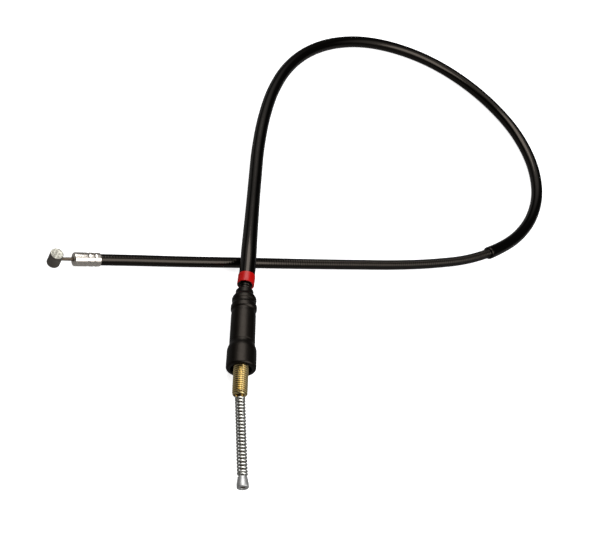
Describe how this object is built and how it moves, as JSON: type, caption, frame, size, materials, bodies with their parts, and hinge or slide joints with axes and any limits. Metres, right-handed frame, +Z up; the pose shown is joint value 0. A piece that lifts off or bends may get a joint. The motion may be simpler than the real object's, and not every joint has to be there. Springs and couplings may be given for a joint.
{
  "type": "front brake cable",
  "caption": "Front brake cable lying in a loose loop, with a barrel nipple at the lever end and a rubber boot, threaded adjuster, return spring and nipple at the brake end.",
  "frame": {"origin": "middle of the lay's outline, on the flat surface that the cable lies on", "axes": "+Z up from the surface; +Y the way the casing leaves the boot, seen from above; +X to the right, towards the loop's far side"},
  "size_m": [0.4234, 0.4734, 0.0201],
  "materials": {
    "castZinc": "rough die-cast",
    "strandedSteel": "stranded",
    "brightPlate": "bright plated",
    "blackJacket": "gloss",
    "woundSteel": "wound flat strip",
    "linerPlastic": "satin",
    "blackSleeve": "gloss",
    "redPlastic": "satin gloss",
    "blackRubber": "matte",
    "yellowPlate": "yellow zinc plate",
    "springSteel": "bright zinc plate"
  },
  "bodies": {
    "casing": {"casing_jacket": "blackJacket", "casing_coil": "woundSteel", "casing_liner": "linerPlastic", "wire_middle": "strandedSteel", "lever_ferrule": "brightPlate", "protective_sleeve": "blackSleeve", "red_band": "redPlastic", "rubber_boot": "blackRubber", "casing_end_cap": "brightPlate", "adjuster": "yellowPlate", "return_spring": "springSteel"},
    "lever_end": {"lever_nipple": "castZinc", "wire_lever_end": "strandedSteel"},
    "brake_end": {"brake_nipple": "castZinc", "wire_brake_end": "strandedSteel"}
  },
  "joints": [
    {"name": "lever_pull", "type": "slide", "parent": "casing", "child": "lever_end", "axis": [-0.9624, -0.2716, 0], "range_m": [0, 0.018]},
    {"name": "brake_pull", "type": "slide", "parent": "casing", "child": "brake_end", "axis": [-0.0488, 0.9982, 0.0349], "range_m": [0, 0.018], "stiffness_N_per_m": 600, "springref_m": -0.004, "deforming": ["return_spring"]}
  ],
  "couplings": [
    {"joint": "brake_pull", "follows": "lever_pull", "ratio": 1}
  ]
}
